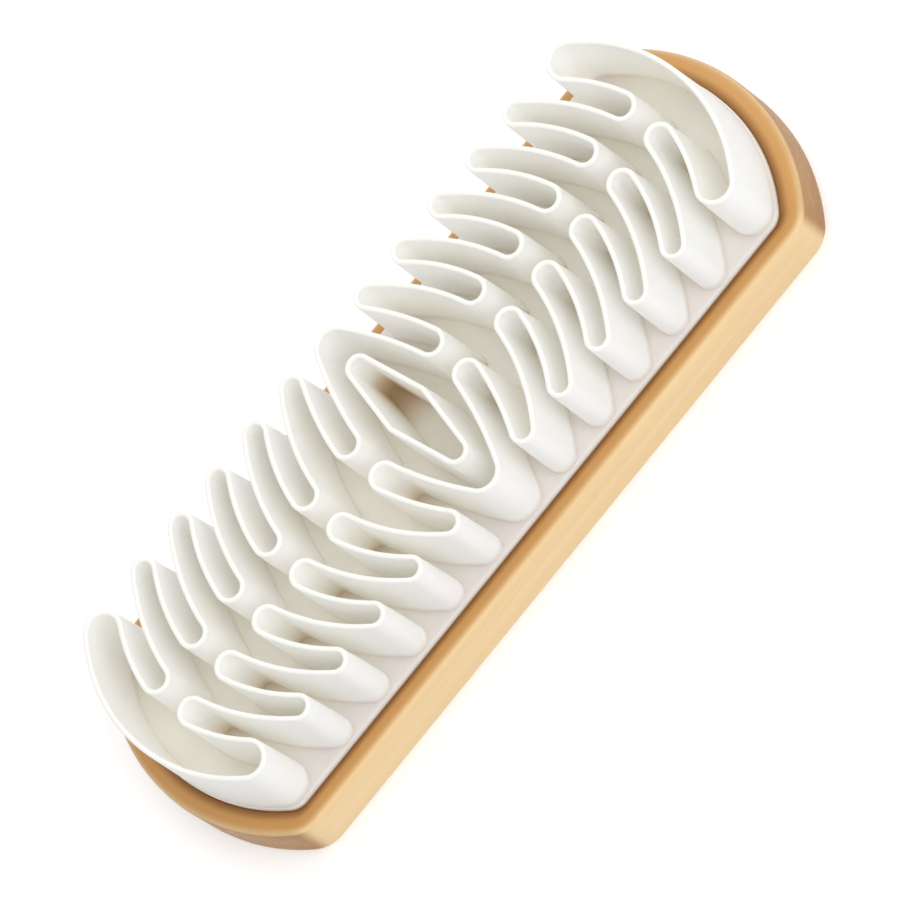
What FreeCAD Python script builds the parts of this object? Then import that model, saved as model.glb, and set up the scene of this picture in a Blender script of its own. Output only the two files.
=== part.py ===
"""Suede brush: a wooden block whose recessed front carries a glued-in rubber pad.

The pad is one moulding: a base sheet, a single closed rib that winds to and fro across the sheet in
mirrored fingers, and a six-sided ring in the middle. The brush lies on its back with the rubber up, X along
its length, Y across it and Z up. The origin is in the middle of the back. Lengths are in millimetres.
"""
import FreeCAD
import Part
import Sketcher
import math
import os

document = FreeCAD.newDocument("suede_brush")

# Driving dimensions, one cell each. Rib sizes are taken at the rib's centre line.
SIZES = {
    # wooden block
    "block_length": 125.0,
    "block_width": 42.5,
    "block_thickness": 10.2,
    "block_end_radius": 29.5,
    "block_corner_radius": 5.5,
    "front_rounding": 1.5,
    "back_rounding": 2.5,
    # recess in the front of the block, and the glue on its floor
    "rim_width": 2.8,
    "end_rim_width": 3.35,
    "recess_depth": 1.0,
    "recess_clearance": 0.15,
    "glue_thickness": 0.2,
    "glue_setback": 0.6,
    # base sheet of the pad
    "sheet_thickness": 2.1,
    "sheet_corner_radius": 3.4,
    # wall of the rib and of the ring, thicker at the foot than at the ridge
    "rib_height": 13.5,
    "ridge_thickness": 0.75,
    "foot_thickness": 1.25,
    "foot_setback": 0.1,
    # winding of the rib: round tips near the middle line, round lobes along the edges
    "channel_width": 3.9,
    "tip_radius": 1.9,
    "first_tip_shift": 1.0,
    "least_pitch": 7.9,
    "lobe_gap": 2.2,
    "middle_lobe_radius": 2.75,
    "corner_flank_inset": 0.8,
    # six-sided ring in the middle, long across the brush, and how far the rib's middle lobes pass beyond it
    "ring_width": 7.0,
    "ring_end_radius": 1.65,
    "ring_end_gap": 6.1,
}
# How far a finger leans towards the ring on its way out, as a share of its reach
FINGER_LEAN_SHARE = 0.43
# How much of that lean a finger already has at its tip, in degrees
TIP_TILT = 13.0

sheet = document.addObject("Spreadsheet::Sheet", "sizes")
for row, (name, size) in enumerate(SIZES.items(), start=1):
    sheet.set(f"A{row}", name)
    sheet.set(f"B{row}", str(size))
    sheet.setAlias(f"B{row}", name)
document.recompute()

RECESS_FLOOR = "sizes.block_thickness - sizes.recess_depth"
SHEET_BACK = RECESS_FLOOR + " + sizes.glue_thickness"


def add_body(label):
    body = document.addObject("PartDesign::Body", label)
    body.Label = label
    return body


def add_outline(body, name, inset, end_inset, corner):
    """A sketch of the brush's outline, set in from the block's edge: straight sides, arc ends, round corners.

    inset, end_inset and corner are expressions of the sheet's sizes: the distance in at the sides and at
    the ends, and the radius of the four corners. The lines are first drawn on the block's edge, and the
    constraints bring them in.
    """
    half_width = sheet.block_width / 2
    end_radius = sheet.block_end_radius
    end_centre = sheet.block_length / 2 - end_radius
    corner_radius = sheet.block_corner_radius
    corner_y = half_width - corner_radius
    corner_reach = math.sqrt((end_radius - corner_radius) ** 2 - corner_y ** 2)
    corner_x = end_centre + corner_reach
    turn = math.atan2(corner_y, corner_reach)

    sketch = body.newObject("Sketcher::SketchObject", name)
    ground = next(item for item in body.Origin.OriginFeatures if item.Role == "XY_Plane")
    sketch.AttachmentSupport = (ground, "")
    sketch.MapMode = "FlatFace"

    def add_arc(centre_x, centre_y, radius, start, end):
        circle = Part.Circle(FreeCAD.Vector(centre_x, centre_y), FreeCAD.Vector(0, 0, 1), radius)
        return sketch.addGeometry(Part.ArcOfCircle(circle, start, end), False)

    def add_side(start_x, y):
        ends = FreeCAD.Vector(start_x, y), FreeCAD.Vector(-start_x, y)
        return sketch.addGeometry(Part.LineSegment(*ends), False)

    # Anticlockwise round the outline, from the far end
    quarter = math.pi / 2
    far_end = add_arc(end_centre, 0, end_radius, -turn, turn)
    far_left = add_arc(corner_x, corner_y, corner_radius, turn, quarter)
    left_side = add_side(corner_x, half_width)
    near_left = add_arc(-corner_x, corner_y, corner_radius, quarter, math.pi - turn)
    near_end = add_arc(-end_centre, 0, end_radius, math.pi - turn, math.pi + turn)
    near_right = add_arc(-corner_x, -corner_y, corner_radius, math.pi + turn, 3 * quarter)
    right_side = add_side(-corner_x, -half_width)
    far_right = add_arc(corner_x, -corner_y, corner_radius, 3 * quarter, 2 * math.pi - turn)

    origin, x_axis, start, end, centre = (-1, 1), -1, 1, 2, 3
    loop = [far_end, far_left, left_side, near_left, near_end, near_right, right_side, far_right]
    for piece, following in zip(loop, loop[1:] + loop[:1]):
        sketch.addConstraint(Sketcher.Constraint("Tangent", piece, end, following, start))
    for side in (left_side, right_side):
        sketch.addConstraint(Sketcher.Constraint("Horizontal", side))
    for arc in (far_end, near_end):
        sketch.addConstraint(Sketcher.Constraint("PointOnObject", arc, centre, x_axis))
    sketch.addConstraint(Sketcher.Constraint("Equal", far_end, near_end))
    for corner_arc in (near_left, near_right, far_right):
        sketch.addConstraint(Sketcher.Constraint("Equal", far_left, corner_arc))

    def add_size(name, expression, *constraint):
        index = sketch.addConstraint(Sketcher.Constraint(*constraint))
        sketch.renameConstraint(index, name)
        sketch.setExpression(f"Constraints.{name}", expression)

    to_end_centre = "sizes.block_length / 2 - sizes.block_end_radius"
    to_side = f"sizes.block_width / 2 - ({inset})"
    add_size("far_centre", to_end_centre, "DistanceX", *origin, far_end, centre, end_centre)
    add_size("near_centre", to_end_centre, "DistanceX", near_end, centre, *origin, end_centre)
    add_size("left_half", to_side, "DistanceY", *origin, left_side, start, half_width)
    add_size("right_half", to_side, "DistanceY", right_side, start, *origin, half_width)
    add_size("end_radius", f"sizes.block_end_radius - ({end_inset})", "Radius", far_end, end_radius)
    add_size("corner_radius", corner, "Radius", far_left, corner_radius)
    return sketch


def add_pad(body, sketch, name, thickness):
    pad = body.newObject("PartDesign::Pad", name)
    pad.Profile = sketch
    pad.setExpression("Length", thickness)
    document.recompute()
    return pad


def add_fillet(body, base, name, height, radius):
    """Rounds every edge of the base feature that lies at one height."""
    names = []
    for number, edge in enumerate(base.Shape.Edges, start=1):
        heights = [corner.Z for corner in edge.Vertexes]
        if all(math.isclose(level, height, abs_tol=Part.Precision.confusion()) for level in heights):
            names.append(f"Edge{number}")
    fillet = body.newObject("PartDesign::Fillet", name)
    fillet.Base = (base, names)
    fillet.setExpression("Radius", radius)
    document.recompute()
    return fillet


# Wooden block: sawn to its outline, front rim and back edge rounded, front recessed for the rubber
block = add_body("handle_block")
block_outline = add_outline(block, "block_outline", "0", "0", "sizes.block_corner_radius")
slab = add_pad(block, block_outline, "block_slab", "sizes.block_thickness")
rounded_front = add_fillet(block, slab, "rounded_front", sheet.block_thickness, "sizes.front_rounding")
rounded_back = add_fillet(block, rounded_front, "rounded_back", 0, "sizes.back_rounding")
recess_outline = add_outline(
    block,
    "recess_outline",
    "sizes.rim_width - sizes.recess_clearance",
    "sizes.end_rim_width - sizes.recess_clearance",
    "sizes.sheet_corner_radius + sizes.recess_clearance",
)
recess_outline.setExpression("AttachmentOffset.Base.z", "sizes.block_thickness")
recess = block.newObject("PartDesign::Pocket", "recess")
recess.Profile = recess_outline
recess.setExpression("Length", "sizes.recess_depth")
document.recompute()
if recess.Shape.Volume >= rounded_back.Shape.Volume:
    raise RuntimeError("the recess cut nothing out of the block")

# Glue: a thin even film on the floor of the recess, a little short of the sheet's edge
glue = add_body("glue_film")
glue_outline = add_outline(
    glue,
    "glue_outline",
    "sizes.rim_width + sizes.glue_setback",
    "sizes.end_rim_width + sizes.glue_setback",
    "sizes.sheet_corner_radius - sizes.glue_setback",
)
add_pad(glue, glue_outline, "film", "sizes.glue_thickness")
glue.setExpression("Placement.Base.z", RECESS_FLOOR)

# Base sheet of the rubber pad
base_sheet = add_body("base_sheet")
sheet_outline = add_outline(
    base_sheet, "sheet_outline", "sizes.rim_width", "sizes.end_rim_width", "sizes.sheet_corner_radius"
)
add_pad(base_sheet, sheet_outline, "sheet_slab", "sizes.sheet_thickness")
base_sheet.setExpression("Placement.Base.z", SHEET_BACK)
document.recompute()


def edge_inset(rim):
    """How far the rib's centre line runs in from the block's edge, past a rim of wood."""
    return rim + sheet.foot_setback + sheet.foot_thickness / 2


def rib_arcs():
    """The rib's centre line in one quarter of the pad, from the middle lobe's crown to the end wall's crown.

    It is all tangent arcs. Each is (centre x, centre y, radius, start angle, end angle, side): side is 1
    where the slots that open at the pad's edge lie away from the arc's centre, and -1 where they lie
    towards it.
    """
    crown = sheet.block_width / 2 - edge_inset(sheet.rim_width)
    end_radius = sheet.block_end_radius - edge_inset(sheet.end_rim_width)
    end_centre = sheet.block_length / 2 - sheet.block_end_radius
    tip_radius = sheet.tip_radius
    tip_y = sheet.channel_width / 2 + tip_radius

    # The last lobe fills the sheet's corner and runs into the end wall
    corner_radius = sheet.sheet_corner_radius - sheet.foot_setback - sheet.foot_thickness / 2
    corner_y = crown - corner_radius
    corner_reach = math.sqrt((end_radius - corner_radius) ** 2 - corner_y ** 2)
    corner_x = end_centre + corner_reach

    # Lobes are spaced evenly from the middle one to the corner one's inner flank, as many as fit
    run = corner_x - corner_radius + sheet.corner_flank_inset
    fingers = int(run / sheet.least_pitch)
    spacing = run / fingers
    # A wall is an arc, so its lean at the tip and its lean at the lobe average to the finger's lean
    tilt = math.radians(TIP_TILT)
    lean = FINGER_LEAN_SHARE * (crown - tip_y)
    lobe_turn = 2 * math.atan(FINGER_LEAN_SHARE) - tilt
    lobe_radius = (spacing * math.cos(lobe_turn) - sheet.foot_thickness - sheet.lobe_gap) / 2

    # Lobes as (x, y, radius), and the x of the tip that follows each of them but the last
    lobes = [(0, crown - sheet.middle_lobe_radius, sheet.middle_lobe_radius)]
    lobes += [(spacing * place, crown - lobe_radius, lobe_radius) for place in range(1, fingers)]
    lobes.append((corner_x, corner_y, corner_radius))
    tips = [spacing * (place + 1 / 2) + lean for place in range(fingers)]
    tips[0] -= sheet.first_tip_shift

    def wall(lobe, tip, side):
        """Centre, radius and turn of the arc that leaves one side of a tilted tip and meets a lobe."""
        lobe_x, lobe_y, lobe_radius = lobe
        start_x = tip - side * tip_radius * math.cos(tilt)
        start_y = tip_y - side * tip_radius * math.sin(tilt)
        across, along = start_x - lobe_x, start_y - lobe_y
        rise = across * math.cos(tilt) + along * math.sin(tilt) - side * lobe_radius
        radius = (across ** 2 + along ** 2 - lobe_radius ** 2) / (2 * rise)
        centre_x = start_x - radius * math.cos(tilt)
        centre_y = start_y - radius * math.sin(tilt)
        turn = math.atan2((lobe_y - centre_y) / radius, (lobe_x - centre_x) / radius)
        return centre_x, centre_y, radius, turn

    arcs = []
    lobe_start = math.pi / 2
    for tip, lobe, next_lobe in zip(tips, lobes, lobes[1:]):
        *inner_wall, turn = wall(lobe, tip, 1)
        arcs.append((*lobe, lobe_start, turn, 1))
        arcs.append((*inner_wall, turn, tilt, 1))
        arcs.append((tip, tip_y, tip_radius, math.pi + tilt, 2 * math.pi + tilt, -1))
        *outer_wall, turn = wall(next_lobe, tip, -1)
        arcs.append((*outer_wall, tilt, turn, -1))
        lobe_start = turn + math.pi
    end_turn = math.atan2(corner_y, corner_reach)
    arcs.append((*lobes[-1], lobe_start, end_turn, 1))
    arcs.append((end_centre, 0, end_radius, end_turn, 0, 1))
    return arcs


QUARTERS = ((1, 1), (1, -1), (-1, -1), (-1, 1))


def rib_edges(offset, height):
    """The rib's line moved sideways by an offset, towards the slots where it is positive."""
    edges = []
    for x_side, y_side in QUARTERS:
        for centre_x, centre_y, radius, start, end, side in rib_arcs():
            reach = radius + side * offset
            points = []
            for angle in (start, (start + end) / 2, end):
                x = centre_x + reach * math.cos(angle)
                y = centre_y + reach * math.sin(angle)
                points.append(FreeCAD.Vector(x_side * x, y_side * y, height))
            edges.append(Part.Arc(*points).toShape())
    return edges


def ring_edges(offset, height):
    """The ring's line moved outwards by an offset: straight sides that meet at the waist, round ends."""
    half_width = sheet.ring_width / 2
    end_radius = sheet.ring_end_radius
    end_y = sheet.block_width / 2 - edge_inset(sheet.rim_width) - sheet.ring_end_gap - end_radius
    slope = math.acos(end_radius / math.hypot(half_width, end_y)) - math.atan2(end_y, half_width)
    reach = end_radius + offset
    edges = []
    for x_side, y_side in QUARTERS:
        waist = FreeCAD.Vector(x_side * (half_width + offset / math.cos(slope)), 0, height)
        points = []
        for angle in (slope, (slope + math.pi / 2) / 2, math.pi / 2):
            x = reach * math.cos(angle)
            y = end_y + reach * math.sin(angle)
            points.append(FreeCAD.Vector(x_side * x, y_side * y, height))
        edges.append(Part.LineSegment(waist, points[0]).toShape())
        edges.append(Part.Arc(*points).toShape())
    return edges


def drafted_wall(edges_at):
    """A solid wall that stands on the base sheet along a closed line and thins from foot to ridge."""
    foot = base_sheet.Placement.Base.z + sheet.sheet_thickness
    ridge = foot + sheet.rib_height
    faces = []
    foot_wires = []
    ridge_wires = []
    for side in (1, -1):
        foot_edges = edges_at(side * sheet.foot_thickness / 2, foot)
        ridge_edges = edges_at(side * sheet.ridge_thickness / 2, ridge)
        faces += [Part.makeRuledSurface(*pair) for pair in zip(foot_edges, ridge_edges)]
        foot_wires.append(Part.Wire(Part.__sortEdges__(foot_edges)))
        ridge_wires.append(Part.Wire(Part.__sortEdges__(ridge_edges)))
    for outer, inner in (foot_wires, ridge_wires):
        inner.reverse()
        faces.append(Part.Face([outer, inner]))
    shell = Part.Shell(faces)
    shell.sewShape()
    return Part.Solid(shell)


# Winding rib and middle ring, moulded on the sheet as one piece of rubber
rib = document.addObject("Part::Feature", "winding_rib")
rib.Shape = drafted_wall(rib_edges)
ring = document.addObject("Part::Feature", "middle_ring")
ring.Shape = drafted_wall(ring_edges)
rubber = document.addObject("Part::MultiFuse", "rubber_pad")
rubber.Label = "rubber_pad"
rubber.Shapes = [base_sheet, rib, ring]
rubber.Refine = True
document.recompute()

PIECES = [block, glue, rubber]
for item in document.Objects:
    if "Invalid" in item.State or "Error" in item.State:
        raise RuntimeError(f"{item.Name} failed to build")
for piece in PIECES:
    if piece.Shape.isNull() or not piece.Shape.isValid() or len(piece.Shape.Solids) != 1:
        raise RuntimeError(f"{piece.Label} is not one sound solid")

os.makedirs("parts", exist_ok=True)
for piece in PIECES:
    piece.Shape.exportStep(f"parts/{piece.Label}.step")
    print(piece.Label, round(piece.Shape.Volume), "cubic mm", piece.Shape.BoundBox)
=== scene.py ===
import math

import bmesh
import bpy
from mathutils import Matrix, Vector


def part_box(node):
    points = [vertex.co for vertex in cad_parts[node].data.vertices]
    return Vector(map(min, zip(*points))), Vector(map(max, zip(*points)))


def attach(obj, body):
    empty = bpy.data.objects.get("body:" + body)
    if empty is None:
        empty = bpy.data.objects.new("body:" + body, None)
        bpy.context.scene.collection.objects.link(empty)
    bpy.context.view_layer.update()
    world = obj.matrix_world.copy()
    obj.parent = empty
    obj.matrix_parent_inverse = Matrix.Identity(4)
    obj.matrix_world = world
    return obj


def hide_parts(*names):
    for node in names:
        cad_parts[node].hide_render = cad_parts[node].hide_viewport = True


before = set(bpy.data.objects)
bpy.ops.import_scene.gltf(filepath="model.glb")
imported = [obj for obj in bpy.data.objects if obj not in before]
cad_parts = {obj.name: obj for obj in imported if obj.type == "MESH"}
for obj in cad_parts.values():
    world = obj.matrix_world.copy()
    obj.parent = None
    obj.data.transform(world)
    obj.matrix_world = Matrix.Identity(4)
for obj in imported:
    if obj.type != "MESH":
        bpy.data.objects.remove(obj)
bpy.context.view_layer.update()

# Wooden block: the handle, a slab of pale close-grained wood with bulged ends and a recess in front.
# It is sawn to its outline, its front and back edges are rounded over, and the recess is routed out.
# All of it is sanded smooth and finished with clear satin lacquer. Lengths are in millimetres.
# Painted shade darkens its front face and the rim beside the rubber, and deepens the real darker end
# grain; a painted highlight lightens the rounded front edge.
MM = 0.001
block_low, block_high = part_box("handle_block")
BLOCK_LENGTH = (block_high.x - block_low.x) / MM
BLOCK_WIDTH = (block_high.y - block_low.y) / MM
BLOCK_THICKNESS = (block_high.z - block_low.z) / MM
BLOCK_END_RADIUS = 29.5
BLOCK_CORNER_RADIUS = 5.5
FRONT_ROUNDING = 1.5
BACK_ROUNDING = 2.5
RIM_WIDTH = 2.8
END_RIM_WIDTH = 3.35
RECESS_DEPTH = 1.0
RECESS_CLEARANCE = 0.05
RECESS_ARRIS = 0.12
RIM_FALL = 0.03
SHEET_CORNER_RADIUS = 3.4
END_CENTRE = BLOCK_LENGTH / 2 - BLOCK_END_RADIUS
END_STEPS = 22
CORNER_STEPS = 12
JOIN_DISTANCE = 0.004
CREASE_ANGLE = math.radians(40)
UP = Vector((0, 0, 1))

FIBRE = (0.915, 0.67, 0.37)
PALE_FIBRE = (0.95, 0.715, 0.41)
LATE_WOOD = (0.88, 0.61, 0.31)
# End grain takes the finish darker; these colours are deepened further as painted shade on the ends.
SHADED_END_GRAIN = (0.45, 0.215, 0.055)
SHADED_END_LATE_WOOD = (0.37, 0.172, 0.042)
# Painted shade: the front face is painted darker and more orange than the sides.
SHADED_FRONT_WOOD = (0.56, 0.27, 0.065)
# Painted shade: the dark brown of the rim next to the rubber.
PAD_SHADE_WOOD = (0.25, 0.095, 0.02)
PORE = (0.50, 0.27, 0.10)


def only(items, kind):
    """The vertices, edges or faces among what an operator gave back."""
    return [item for item in items if isinstance(item, kind)]


def lies_at(item, height):
    """Whether an edge or a face lies flat at one height."""
    return all(math.isclose(vert.co.z, height, abs_tol=JOIN_DISTANCE) for vert in item.verts)


def edges_at(bm, height):
    """The edges that lie flat at one height."""
    return [edge for edge in bm.edges if lies_at(edge, height)]


def spin_on(bm, geometry, centre, angle, steps):
    """Sweeps what the last step left round an upright axis, and gives its far end."""
    spun = bmesh.ops.spin(
        bm, geom=geometry, cent=centre, axis=UP, angle=angle, steps=steps, use_duplicate=False
    )
    return spun["geom_last"]


def mirror_quarter(bm, others):
    """Completes what is new in the model, a quarter of the brush, across both middle planes."""
    for axis in ("X", "Y"):
        part = [item for item in (*bm.verts, *bm.edges, *bm.faces) if item not in others]
        bmesh.ops.mirror(bm, geom=part, matrix=Matrix.Identity(4), merge_dist=JOIN_DISTANCE, axis=axis)


def brush_outline(bm, inset, end_inset, corner_radius, height):
    """The brush's outline set in at its sides and ends: arc ends, round corners, straight sides."""
    half_width = BLOCK_WIDTH / 2 - inset
    end_radius = BLOCK_END_RADIUS - end_inset
    corner_y = half_width - corner_radius
    corner_reach = math.sqrt((end_radius - corner_radius) ** 2 - corner_y ** 2)
    turn = math.atan2(corner_y, corner_reach)
    end_centre = Vector((END_CENTRE, 0, height))
    corner_centre = end_centre + Vector((corner_reach, corner_y, 0))

    others = {*bm.verts, *bm.edges, *bm.faces}
    crown = bm.verts.new(end_centre + Vector((end_radius, 0, 0)))
    last = spin_on(bm, [crown], end_centre, turn, END_STEPS)
    last = spin_on(bm, last, corner_centre, math.pi / 2 - turn, CORNER_STEPS)
    run = bmesh.ops.extrude_vert_indiv(bm, verts=only(last, bmesh.types.BMVert))
    for vert in run["verts"]:
        vert.co.x = 0
    mirror_quarter(bm, others)
    return [edge for edge in bm.edges if edge not in others]


def prism(bm, outline, height):
    """Closes an outline with a face and raises it to a solid."""
    base = bmesh.ops.contextual_create(bm, geom=outline)["faces"]
    raised = bmesh.ops.extrude_face_region(bm, geom=base)["geom"]
    bmesh.ops.translate(bm, vec=UP * height, verts=only(raised, bmesh.types.BMVert))
    bmesh.ops.recalc_face_normals(bm, faces=bm.faces)


def round_over(bm, edges, radius, segments):
    """Rounds edges to a radius."""
    bmesh.ops.bevel(
        bm,
        geom=edges,
        offset=radius,
        offset_type="OFFSET",
        segments=segments,
        profile=0.5,
        affect="EDGES",
        material=-1,
    )


def open_top(bm, height):
    """Takes away the flat face at one height and gives the edges that it leaves open."""
    top = [face for face in bm.faces if lies_at(face, height)]
    rim = list({edge for face in top for edge in face.edges})
    bmesh.ops.delete(bm, geom=top, context="FACES_ONLY")
    return rim


def finish_piece(bm, name, material):
    """Turns the millimetre model into a smooth-shaded object in metres, creased where it is sharp."""
    bmesh.ops.remove_doubles(bm, verts=bm.verts, dist=JOIN_DISTANCE)
    bmesh.ops.recalc_face_normals(bm, faces=bm.faces)
    bmesh.ops.scale(bm, vec=Vector((MM, MM, MM)), verts=bm.verts)
    mesh = bpy.data.meshes.new(name)
    bm.to_mesh(mesh)
    bm.free()
    mesh.shade_smooth()
    mesh.set_sharp_from_angle(angle=CREASE_ANGLE)
    mesh.materials.append(material)
    piece = bpy.data.objects.new(name, mesh)
    bpy.context.scene.collection.objects.link(piece)
    piece.modifiers.new("even normals", "WEIGHTED_NORMAL").keep_sharp = True
    return piece


def new_material(name):
    """A node material, with its tree, its Principled BSDF and the piece's own coordinates."""
    material = bpy.data.materials.new(name)
    material.use_nodes = True
    tree = material.node_tree
    place = tree.nodes.new("ShaderNodeTexCoord").outputs["Object"]
    return material, tree, tree.nodes["Principled BSDF"], place


def mottle_group():
    """The unevenness that every finish here has: a mask that rises from Low to High in a noise pattern.

    Waves is how many of the pattern's waves lie in a metre along X, Y and Z.
    """
    group = bpy.data.node_groups.new("mottle", "ShaderNodeTree")
    for name, kind in (
        ("Place", "NodeSocketVector"),
        ("Waves", "NodeSocketVector"),
        ("Detail", "NodeSocketFloat"),
        ("Low", "NodeSocketFloat"),
        ("High", "NodeSocketFloat"),
    ):
        group.interface.new_socket(name, in_out="INPUT", socket_type=kind)
    group.interface.new_socket("Mask", in_out="OUTPUT", socket_type="NodeSocketFloat")
    given = group.nodes.new("NodeGroupInput").outputs
    result = group.nodes.new("NodeGroupOutput").inputs
    scaled = group.nodes.new("ShaderNodeVectorMath")
    scaled.operation = "MULTIPLY"
    pattern = group.nodes.new("ShaderNodeTexNoise")
    pattern.inputs["Scale"].default_value = 1
    mask = group.nodes.new("ShaderNodeMapRange")
    mask.interpolation_type = "SMOOTHSTEP"
    for source, target in (
        (given["Place"], scaled.inputs[0]),
        (given["Waves"], scaled.inputs[1]),
        (scaled.outputs["Vector"], pattern.inputs["Vector"]),
        (given["Detail"], pattern.inputs["Detail"]),
        (pattern.outputs["Fac"], mask.inputs["Value"]),
        (given["Low"], mask.inputs["From Min"]),
        (given["High"], mask.inputs["From Max"]),
        (mask.outputs["Result"], result["Mask"]),
    ):
        group.links.new(source, target)
    return group


MOTTLE = mottle_group()


def mottle(tree, place, waves, detail, low, high):
    """Places the mottle group in a material with that finish's own values, and gives its mask."""
    node = tree.nodes.new("ShaderNodeGroup")
    node.node_tree = MOTTLE
    values = {"Waves": waves, "Detail": detail, "Low": low, "High": high}
    for name, value in values.items():
        node.inputs[name].default_value = value
    tree.links.new(place, node.inputs["Place"])
    return node.outputs["Mask"]


def remap(tree, value, result, reach=(0, 1)):
    """Takes a value smoothly from its reach, two limits, to a result between two others."""
    span = tree.nodes.new("ShaderNodeMapRange")
    span.interpolation_type = "SMOOTHSTEP"
    for name, limit in zip(("From Min", "From Max", "To Min", "To Max"), (*reach, *result)):
        span.inputs[name].default_value = limit
    tree.links.new(value, span.inputs["Value"])
    return span.outputs["Result"]


def tint(tree, mask, colour, other):
    """Goes from a colour to another one where the mask rises. A colour is a socket or three numbers."""
    mix = tree.nodes.new("ShaderNodeMix")
    mix.data_type = "RGBA"
    tree.links.new(mask, mix.inputs["Factor"])
    colour_inputs = [socket for socket in mix.inputs if socket.type == "RGBA"]
    for socket, shade in zip(colour_inputs, (colour, other)):
        if isinstance(shade, tuple):
            socket.default_value = (*shade, 1)
        else:
            tree.links.new(shade, socket)
    return next(socket for socket in mix.outputs if socket.type == "RGBA")


def relief(tree, shader, height, strength, distance):
    """Fine relief on the surface, from a pattern."""
    bump = tree.nodes.new("ShaderNodeBump")
    bump.inputs["Strength"].default_value = strength
    bump.inputs["Distance"].default_value = distance
    tree.links.new(height, bump.inputs["Height"])
    tree.links.new(bump.outputs["Normal"], shader.inputs["Normal"])


wood, tree, shader, place = new_material("lacquered_wood")
fibres = mottle(tree, place, waves=(45, 1300, 1300), detail=5, low=0.3, high=0.7)
growth_layers = mottle(tree, place, waves=(9, 120, 420), detail=2, low=0.35, high=0.65)
pores = mottle(tree, place, waves=(350, 4200, 4200), detail=1, low=0.60, high=0.72)
facing = tree.nodes.new("ShaderNodeSeparateXYZ")
tree.links.new(tree.nodes["Texture Coordinate"].outputs["Normal"], facing.inputs["Vector"])
end_face = tree.nodes.new("ShaderNodeMath")
end_face.operation = "ABSOLUTE"
tree.links.new(facing.outputs["X"], end_face.inputs[0])
# The ends are darker: real end grain, deepened as painted shade.
end_grain_and_shade = remap(tree, end_face.outputs["Value"], reach=(0.3, 0.68), result=(0, 0.95))
# Painted highlight: the rounded front edge is painted back towards the sides' pale colour, lighter than
# the end grain at the ends.
rounded_front_highlight = remap(tree, facing.outputs["Z"], reach=(0.15, 0.5), result=(0, 0.6))
# Painted shade: faces that look up, the front rim and the recess, are painted darker than the sides.
front_face = remap(tree, facing.outputs["Z"], reach=(0.55, 0.99), result=(0, 0.9))
# Painted shade: the rim darkens towards the rubber, and the recess is dark brown.
pad_shade_marks = tree.nodes.new("ShaderNodeAttribute")
pad_shade_marks.attribute_name = "near_pad"
pad_shade = remap(tree, pad_shade_marks.outputs["Fac"], reach=(0.1, 1), result=(0, 0.85))
side_colour = tint(tree, fibres, FIBRE, PALE_FIBRE)
side_colour = tint(tree, remap(tree, growth_layers, result=(0, 0.45)), side_colour, LATE_WOOD)
end_colour = tint(tree, growth_layers, SHADED_END_GRAIN, SHADED_END_LATE_WOOD)
colour = tint(tree, end_grain_and_shade, side_colour, end_colour)
colour = tint(tree, rounded_front_highlight, colour, side_colour)
colour = tint(tree, front_face, colour, SHADED_FRONT_WOOD)
colour = tint(tree, pad_shade, colour, PAD_SHADE_WOOD)
colour = tint(tree, remap(tree, pores, result=(0, 0.1)), colour, PORE)
tree.links.new(colour, shader.inputs["Base Color"])
tree.links.new(remap(tree, fibres, result=(0.42, 0.52)), shader.inputs["Roughness"])
relief(tree, shader, fibres, strength=0.1, distance=0.00005)
shader.inputs["Specular IOR Level"].default_value = 0.3
shader.inputs["Coat Weight"].default_value = 0.1
shader.inputs["Coat Roughness"].default_value = 0.3

bm = bmesh.new()
near_pad = bm.verts.layers.float.new("near_pad")
outline = brush_outline(bm, inset=0, end_inset=0, corner_radius=BLOCK_CORNER_RADIUS, height=0)
prism(bm, outline, BLOCK_THICKNESS)
round_over(bm, edges_at(bm, BLOCK_THICKNESS), FRONT_ROUNDING, segments=6)
round_over(bm, edges_at(bm, 0), BACK_ROUNDING, segments=8)
front_edge = open_top(bm, BLOCK_THICKNESS)
recess_corner = SHEET_CORNER_RADIUS + RECESS_CLEARANCE
for spread, depth in (
    (RECESS_CLEARANCE + RECESS_ARRIS, RIM_FALL),
    (RECESS_CLEARANCE, RECESS_ARRIS),
    (RECESS_CLEARANCE, RECESS_DEPTH),
):
    next_edge = brush_outline(
        bm, RIM_WIDTH - spread, END_RIM_WIDTH - spread, recess_corner, BLOCK_THICKNESS - depth
    )
    # These loops, the rim's inner part and the recess, carry the painted shade beside the rubber.
    for edge in next_edge:
        for vert in edge.verts:
            vert[near_pad] = 1
    bmesh.ops.bridge_loops(bm, edges=front_edge + next_edge)
    front_edge = next_edge
bmesh.ops.contextual_create(bm, geom=front_edge)
block = finish_piece(bm, "wooden_block", wood)
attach(block, "root")
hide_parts("handle_block")

# Glue film: contact adhesive brushed on the floor of the recess, which holds the rubber to the wood.
# It dries to a thin amber skin with brush marks, and the rubber hides it.
THICK_GLUE = (0.42, 0.27, 0.10)
THIN_GLUE = (0.60, 0.43, 0.19)
glue, tree, shader, place = new_material("dried_glue")
brush_marks = mottle(tree, place, waves=(60, 900, 60), detail=3, low=0.3, high=0.7)
tree.links.new(tint(tree, brush_marks, THICK_GLUE, THIN_GLUE), shader.inputs["Base Color"])
tree.links.new(remap(tree, brush_marks, result=(0.25, 0.4)), shader.inputs["Roughness"])
relief(tree, shader, brush_marks, strength=0.3, distance=0.0001)
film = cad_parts["glue_film"]
film.data.materials.clear()
film.data.materials.append(glue)

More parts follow.
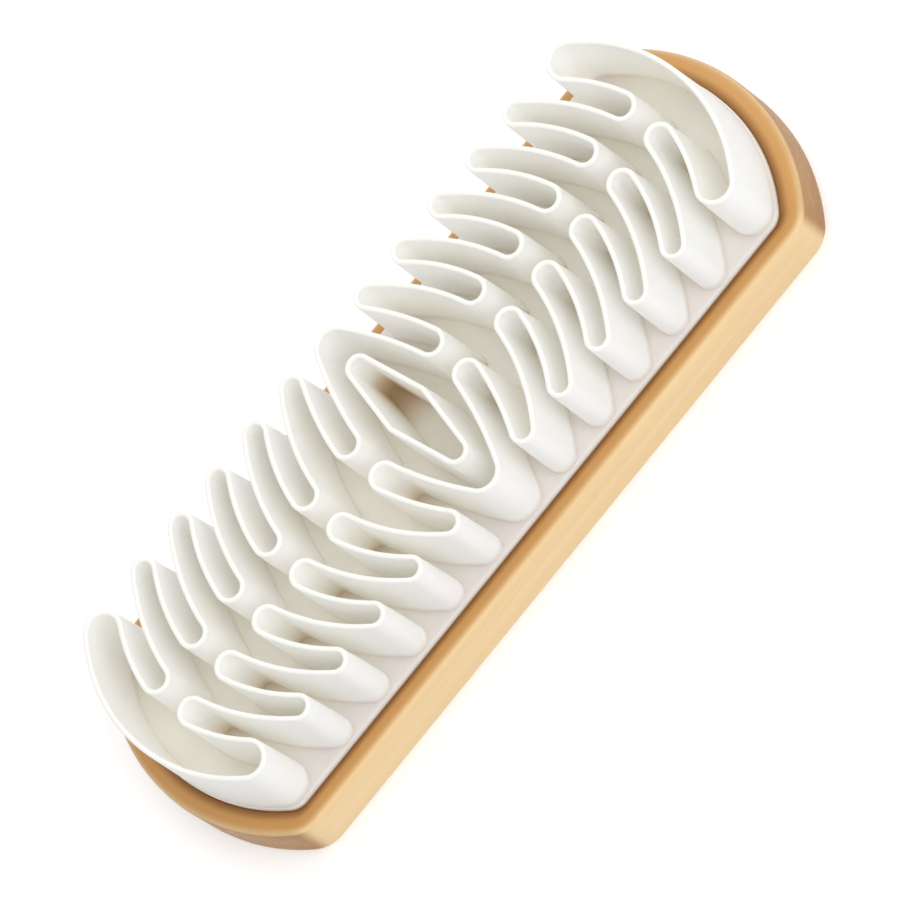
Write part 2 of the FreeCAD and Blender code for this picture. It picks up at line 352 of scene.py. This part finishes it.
# Rubber pad: one moulding of off-white rubber, glued into the recess of the block.
# A base sheet carries one closed rib that winds to and fro in mirrored fingers, and a six-sided ring.
# The walls taper to a rounded ridge, as a mould needs, and painted shade makes the floor browner in
# narrow pockets.
pad_low, pad_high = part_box("rubber_pad")
SHEET_BACK = pad_low.z / MM
SHEET_THICKNESS = 2.1
SHEET_FACE = SHEET_BACK + SHEET_THICKNESS
SHEET_EDGE_ROUNDING = 0.1
RIDGE = pad_high.z / MM
RIDGE_THICKNESS = 0.75
RIDGE_ROUNDING = 0.28
FOOT_THICKNESS = 1.25
FOOT_SETBACK = 0.12
ROOT_FLARE = 0.35
CHANNEL_WIDTH = 3.9
TIP_RADIUS = 1.9
TIP_TILT = math.radians(13)
FIRST_TIP_SHIFT = 1.0
FINGER_LEAN_SHARE = 0.43
LEAST_PITCH = 7.9
LOBE_GAP = 2.2
MIDDLE_LOBE_RADIUS = 2.75
CORNER_FLANK_INSET = 0.8
RING_WIDTH = 7.0
RING_END_RADIUS = 1.65
RING_WAIST_RADIUS = 0.8
RING_END_GAP = 6.1
WALL_INSET = FOOT_SETBACK + FOOT_THICKNESS / 2
CROWN = BLOCK_WIDTH / 2 - RIM_WIDTH - WALL_INSET
ARCS_PER_FINGER = 4

IVORY = (0.972, 0.968, 0.942)
PALE_IVORY = (0.98, 0.977, 0.955)
SKIN_GRAIN = (0.88, 0.86, 0.81)
# Painted shade on the floor and the walls' roots, darker on the outer flank of the sheet.
INNER_FLOOR_SHADE = (0.88, 0.85, 0.785)
FLANK_FLOOR_SHADE = (0.77, 0.72, 0.685)
# Painted shade, deep in narrow pockets.
POCKET_SHADE = (0.60, 0.45, 0.265)
SHEET_SIDE = (0.96, 0.94, 0.91)
# Painted shade: brown at the foot of the sheet's side, by the wood.
SHEET_FOOT_SHADE = (0.50, 0.30, 0.14)
# Painted highlight on the ridge tops.
RIDGE_HIGHLIGHT = (0.985, 0.968, 0.89)
FLANK_START = 9.0
ROOT_REACH = 1.8
RIDGE_REACH = 0.6
SIDE_START = 0.02
SIDE_REACH = 0.12
SHEET_FOOT_SHADE_REACH = 0.6
FINGER_SHADE_REACH = 9.0
FINGER_SHADE_SHARE = 0.7


def wall_section(bm, along_x, along_y, outward, flares):
    """Cross-section of a wall, standing on the sheet: foot, drafted flank, rounded ridge, flank, foot.

    outward is the direction of its outer side. flares says which sides have a root flare: -1 and 1.
    """
    place = Vector((along_x, along_y, SHEET_FACE))
    height = RIDGE - SHEET_FACE
    half_foot = FOOT_THICKNESS / 2
    half_ridge = RIDGE_THICKNESS / 2
    arc_points = 5
    points = []
    for side in (-1, 1):
        half = []
        if side in flares:
            for step in range(arc_points):
                angle = math.pi / 2 * step / arc_points
                half.append((
                    half_foot + ROOT_FLARE * (1 - math.sin(angle)),
                    ROOT_FLARE * (1 - math.cos(angle)),
                ))
        else:
            half.append((half_foot, 0))
        for step in range(arc_points):
            angle = math.pi / 2 * step / (arc_points - 1)
            half.append((
                half_ridge - RIDGE_ROUNDING * (1 - math.cos(angle)),
                height - RIDGE_ROUNDING * (1 - math.sin(angle)),
            ))
        half = [(side * out, up) for out, up in half]
        points += half if side < 0 else half[::-1]
    verts = [bm.verts.new(place + outward * out + UP * up) for out, up in points]
    edges = [bm.edges.new(pair) for pair in zip(verts, verts[1:])]
    return [*verts, *edges]


def arc_steps(radius, angle):
    """Enough steps for an arc to look round: small turns, and chords of a millimetre at most."""
    greatest_turn = math.radians(8)
    greatest_chord = 1.0
    return math.ceil(max(abs(angle) / greatest_turn, abs(angle * radius) / greatest_chord))


def rib_arcs():
    """The rib's centre line in a quarter of the pad, as tangent arcs.

    Each is its centre's x and y, its radius, and its start and end angle. A finger has four: the lobe
    before it, its inner wall, its tip and its outer wall. The corner lobe and the end wall come last.
    """
    end_radius = BLOCK_END_RADIUS - END_RIM_WIDTH - WALL_INSET
    tip_y = CHANNEL_WIDTH / 2 + TIP_RADIUS
    corner_radius = SHEET_CORNER_RADIUS - WALL_INSET
    corner_y = CROWN - corner_radius
    corner_reach = math.sqrt((end_radius - corner_radius) ** 2 - corner_y ** 2)
    corner_x = END_CENTRE + corner_reach

    run = corner_x - corner_radius + CORNER_FLANK_INSET
    fingers = int(run / LEAST_PITCH)
    spacing = run / fingers
    lean = FINGER_LEAN_SHARE * (CROWN - tip_y)
    lobe_turn = 2 * math.atan(FINGER_LEAN_SHARE) - TIP_TILT
    lobe_radius = (spacing * math.cos(lobe_turn) - FOOT_THICKNESS - LOBE_GAP) / 2

    lobes = [(0, CROWN - MIDDLE_LOBE_RADIUS, MIDDLE_LOBE_RADIUS)]
    lobes += [(spacing * place, CROWN - lobe_radius, lobe_radius) for place in range(1, fingers)]
    lobes.append((corner_x, corner_y, corner_radius))
    tips = [spacing * (place + 1 / 2) + lean for place in range(fingers)]
    tips[0] -= FIRST_TIP_SHIFT
    square = Vector((math.cos(TIP_TILT), math.sin(TIP_TILT)))

    def wall(lobe, tip, side):
        """Centre, radius and turn of the arc that leaves one side of a tilted tip and meets a lobe."""
        lobe_centre, lobe_radius = Vector(lobe[:2]), lobe[2]
        start = Vector((tip, tip_y)) - side * TIP_RADIUS * square
        gap = start - lobe_centre
        radius = (gap.length_squared - lobe_radius ** 2) / (2 * (gap.dot(square) - side * lobe_radius))
        centre = start - radius * square
        to_lobe = (lobe_centre - centre) / radius
        return *centre, radius, math.atan2(to_lobe.y, to_lobe.x)

    arcs = []
    lobe_start = math.pi / 2
    for tip, lobe, next_lobe in zip(tips, lobes, lobes[1:]):
        *inner_wall, turn = wall(lobe, tip, 1)
        arcs.append((*lobe, lobe_start, turn))
        arcs.append((*inner_wall, turn, TIP_TILT))
        arcs.append((tip, tip_y, TIP_RADIUS, math.pi + TIP_TILT, 2 * math.pi + TIP_TILT))
        *outer_wall, turn = wall(next_lobe, tip, -1)
        arcs.append((*outer_wall, TIP_TILT, turn))
        lobe_start = turn + math.pi
    end_turn = math.atan2(corner_y, corner_reach)
    arcs.append((*lobes[-1], lobe_start, end_turn))
    arcs.append((END_CENTRE, 0, end_radius, end_turn, 0))
    return arcs


def in_metres(*lengths):
    """Lengths in metres, as a material's coordinates are."""
    return tuple(length * MM for length in lengths)


rubber, tree, shader, place = new_material("moulded_rubber")
clouds = mottle(tree, place, waves=(160, 160, 160), detail=3, low=0.3, high=0.7)
skin = mottle(tree, place, waves=(2600, 2600, 2600), detail=2, low=0.3, high=0.7)
from_middle = tree.nodes.new("ShaderNodeVectorMath")
from_middle.operation = "ABSOLUTE"
tree.links.new(place, from_middle.inputs[0])
axes = tree.nodes.new("ShaderNodeSeparateXYZ")
tree.links.new(from_middle.outputs["Vector"], axes.inputs["Vector"])
sideways, level = axes.outputs["Y"], axes.outputs["Z"]
# Painted shade: the floor and the lowest part of the walls are painted darker, more so beyond
# FLANK_START.
flank = remap(tree, sideways, reach=in_metres(FLANK_START, CROWN), result=(0, 1))
root = remap(tree, level, reach=in_metres(SHEET_FACE, SHEET_FACE + ROOT_REACH), result=(0.9, 0))
# Painted highlight: the ridge tops are painted warmer and a touch lighter.
ridge = remap(tree, level, reach=in_metres(RIDGE - RIDGE_REACH, RIDGE), result=(0, 1))
# The sheet's side is given back its pale colour, out of the painted shade on the floor.
side_heights = in_metres(SHEET_FACE - SIDE_REACH, SHEET_FACE - SIDE_START)
sheet_side = remap(tree, level, reach=side_heights, result=(1, 0))
# Painted shade: the sheet's side is painted brown where it meets the wood.
sheet_foot_shade_heights = in_metres(BLOCK_THICKNESS, BLOCK_THICKNESS + SHEET_FOOT_SHADE_REACH)
sheet_foot_shade = remap(tree, level, reach=sheet_foot_shade_heights, result=(0.9, 0))
# Painted shade: the floor deep in the ring and the fingers is painted brown.
pocket = tree.nodes.new("ShaderNodeAttribute")
pocket.attribute_name = "deep"
pocket_shade = remap(tree, pocket.outputs["Fac"], reach=(0.3, 1), result=(0, 0.9))
colour = tint(tree, clouds, IVORY, PALE_IVORY)
colour = tint(tree, remap(tree, skin, result=(0.06, 0)), colour, SKIN_GRAIN)
colour = tint(tree, root, colour, tint(tree, flank, INNER_FLOOR_SHADE, FLANK_FLOOR_SHADE))
colour = tint(tree, pocket_shade, colour, POCKET_SHADE)
colour = tint(tree, sheet_side, colour, SHEET_SIDE)
colour = tint(tree, sheet_foot_shade, colour, SHEET_FOOT_SHADE)
colour = tint(tree, ridge, colour, RIDGE_HIGHLIGHT)
tree.links.new(colour, shader.inputs["Base Color"])
tree.links.new(remap(tree, skin, result=(0.40, 0.52)), shader.inputs["Roughness"])
relief(tree, shader, skin, strength=0.1, distance=0.00005)
shader.inputs["Subsurface Weight"].default_value = 0.5
shader.inputs["Subsurface Radius"].default_value = (1.0, 0.88, 0.7)
shader.inputs["Subsurface Scale"].default_value = 0.002

bm = bmesh.new()
deep = bm.verts.layers.float.new("deep")
outline = brush_outline(bm, RIM_WIDTH, END_RIM_WIDTH, SHEET_CORNER_RADIUS, SHEET_BACK)
prism(bm, outline, SHEET_THICKNESS)
round_over(bm, edges_at(bm, SHEET_FACE), SHEET_EDGE_ROUNDING, segments=3)
open_top(bm, SHEET_FACE)

sheet_parts = {*bm.verts, *bm.edges, *bm.faces}
section = wall_section(bm, 0, CROWN, Vector((0, 1, 0)), flares=(-1,))
rib = rib_arcs()
for centre_x, centre_y, radius, start, end in rib:
    centre = Vector((centre_x, centre_y, SHEET_FACE))
    section = spin_on(bm, section, centre, end - start, arc_steps(radius, end - start))

ring_half = RING_WIDTH / 2
ring_end_y = CROWN - RING_END_GAP - RING_END_RADIUS
waist_x = ring_half - RING_WAIST_RADIUS
ring_slope = math.acos((RING_END_RADIUS - RING_WAIST_RADIUS) / math.hypot(waist_x, ring_end_y))
ring_slope -= math.atan2(ring_end_y, waist_x)
waist_centre = Vector((waist_x, 0, SHEET_FACE))
ring_end_centre = Vector((0, ring_end_y, SHEET_FACE))
ring_square = Vector((math.cos(ring_slope), math.sin(ring_slope), 0))
section = wall_section(bm, ring_half, 0, Vector((1, 0, 0)), flares=(-1, 1))
section = spin_on(bm, section, waist_centre, ring_slope, steps=3)
side_run = ring_end_centre + ring_square * RING_END_RADIUS
side_run = side_run - waist_centre - ring_square * RING_WAIST_RADIUS
side = bmesh.ops.extrude_edge_only(bm, edges=only(section, bmesh.types.BMEdge))["geom"]
section = [item for item in side if not isinstance(item, bmesh.types.BMFace)]
bmesh.ops.translate(bm, vec=side_run, verts=only(section, bmesh.types.BMVert))
spin_on(bm, section, ring_end_centre, math.pi / 2 - ring_slope, steps=12)


def pocket_depth(point):
    """How deep in a pocket a wall's foot is, which sets the painted shade there: 1 at the ring's end,
    less in a finger, 0 in the open.
    """
    across = (point - waist_centre).dot(ring_square)
    if across < RING_WAIST_RADIUS and point.y < ring_end_y + RING_END_RADIUS:
        return min(1, point.y / ring_end_y)
    inner_walls, tips, outer_walls = (rib[place::ARCS_PER_FINGER] for place in (1, 2, 3))
    for inner_wall, tip, outer_wall in zip(inner_walls, tips, outer_walls):
        sides = []
        for centre_x, centre_y, radius, *_ in (inner_wall, outer_wall):
            reach = math.sqrt(max(0, radius ** 2 - (point.y - centre_y) ** 2))
            sides.append(centre_x + math.copysign(reach, radius))
        beyond_tip = point.y - tip[1] + TIP_RADIUS
        if sides[0] < point.x < sides[1] and beyond_tip > 0:
            return FINGER_SHADE_SHARE * max(0, 1 - beyond_tip / FINGER_SHADE_REACH)
    return 0


for vert in bm.verts:
    if vert not in sheet_parts and vert.co.z < SHEET_FACE + ROOT_FLARE:
        vert[deep] = pocket_depth(vert.co)

mirror_quarter(bm, sheet_parts)
open_edges = [edge for edge in edges_at(bm, SHEET_FACE) if edge.is_boundary or edge.is_wire]
bmesh.ops.triangle_fill(bm, use_beauty=True, edges=open_edges, normal=UP)
pad = finish_piece(bm, "rubber_moulding", rubber)
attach(pad, "root")
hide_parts("rubber_pad")

# Floor: a plain white sheet that the brush lies on, with its back down.
# Seen directly it glows a little, so that it is white and still keeps the brush's shadow.
FLOOR_HALF = 3.0
PAPER = (0.77, 0.77, 0.77)
PALE_PAPER = (0.78, 0.78, 0.78)
FLOOR_GLOW = 0.4
WHITE = (1, 1, 1, 1)


def seen_directly(tree):
    """A mask of the rays that show a surface itself, straight or in gloss and glass, not as light."""
    path = tree.nodes.new("ShaderNodeLightPath")
    mask = path.outputs["Is Camera Ray"]
    for name in ("Is Glossy Ray", "Is Transmission Ray"):
        either = tree.nodes.new("ShaderNodeMath")
        either.operation = "MAXIMUM"
        tree.links.new(mask, either.inputs[0])
        tree.links.new(path.outputs[name], either.inputs[1])
        mask = either.outputs["Value"]
    return mask


paper, tree, shader, place = new_material("white_floor")
shade = mottle(tree, place, waves=(40, 40, 40), detail=3, low=0.3, high=0.7)
glow = remap(tree, seen_directly(tree), result=(0, FLOOR_GLOW))
tree.links.new(tint(tree, shade, PAPER, PALE_PAPER), shader.inputs["Base Color"])
tree.links.new(glow, shader.inputs["Emission Strength"])
shader.inputs["Emission Color"].default_value = WHITE
shader.inputs["Roughness"].default_value = 1
shader.inputs["Specular IOR Level"].default_value = 0

floor_mesh = bpy.data.meshes.new("floor")
bm = bmesh.new()
bmesh.ops.create_grid(bm, x_segments=1, y_segments=1, size=FLOOR_HALF)
bm.to_mesh(floor_mesh)
bm.free()
floor_mesh.materials.append(paper)
floor = bpy.data.objects.new("floor", floor_mesh)
bpy.context.scene.collection.objects.link(floor)

# Light: an even white room, a large soft lamp on the camera's side and a weaker one across from it.
# The rubber is white and deeply grooved, so light is followed through many bounces.
ROOM_LIGHT = 0.67
bpy.context.scene.cycles.max_bounces = 24
bpy.context.scene.cycles.diffuse_bounces = 16
world = bpy.data.worlds.new("room")
world.use_nodes = True
tree = world.node_tree
room = tree.nodes["Background"]
room.inputs["Color"].default_value = WHITE
tree.links.new(remap(tree, seen_directly(tree), result=(ROOM_LIGHT, 1)), room.inputs["Strength"])
bpy.context.scene.world = world


def soft_lamp(name, place, size, power):
    """A round area lamp that faces the brush."""
    light = bpy.data.lights.new(name, "AREA")
    light.shape = "DISK"
    light.size = size
    light.energy = power
    lamp = bpy.data.objects.new(name, light)
    lamp.location = place
    lamp.rotation_euler = (-lamp.location).to_track_quat("-Z", "Y").to_euler()
    bpy.context.scene.collection.objects.link(lamp)


soft_lamp("key", place=(0.4, -0.78, 0.9), size=1.2, power=6)
soft_lamp("fill", place=(0.4, 0.7, 1.0), size=1.0, power=3.5)

# Camera: a long lens over the brush's right side, rolled so that the brush climbs to the upper right.
# It stands so far off that the brush hardly tapers, and is aimed a little off the brush's middle.
ELEVATION = math.radians(60)
SWING = math.radians(5.73)
ROLL = math.radians(55.85)
DISTANCE = 1.6706
PIXELS_PER_METRE = 7381.3
IMAGE_WIDTH = 900
AIM_RIGHT = 0.0013
AIM_UP = 0.00812
towards = Vector((
    math.sin(SWING) * math.cos(ELEVATION), -math.cos(SWING) * math.cos(ELEVATION), math.sin(ELEVATION)
))
right = Vector((math.cos(SWING), math.sin(SWING), 0))
up = towards.cross(right)
camera_x = right * math.cos(ROLL) - up * math.sin(ROLL)
camera_y = right * math.sin(ROLL) + up * math.cos(ROLL)
lens = bpy.data.cameras.new("camera")
lens.sensor_width = 36.0
lens.lens = lens.sensor_width * PIXELS_PER_METRE * DISTANCE / IMAGE_WIDTH
camera = bpy.data.objects.new("camera", lens)
aim = Vector((0, 0, RIDGE * MM)) - right * AIM_RIGHT - up * AIM_UP
stand = Matrix((camera_x, camera_y, towards)).transposed().to_4x4()
stand.translation = aim + towards * DISTANCE
camera.matrix_world = stand
bpy.context.scene.collection.objects.link(camera)
bpy.context.scene.camera = camera
bpy.context.scene.view_settings.view_transform = "Standard"
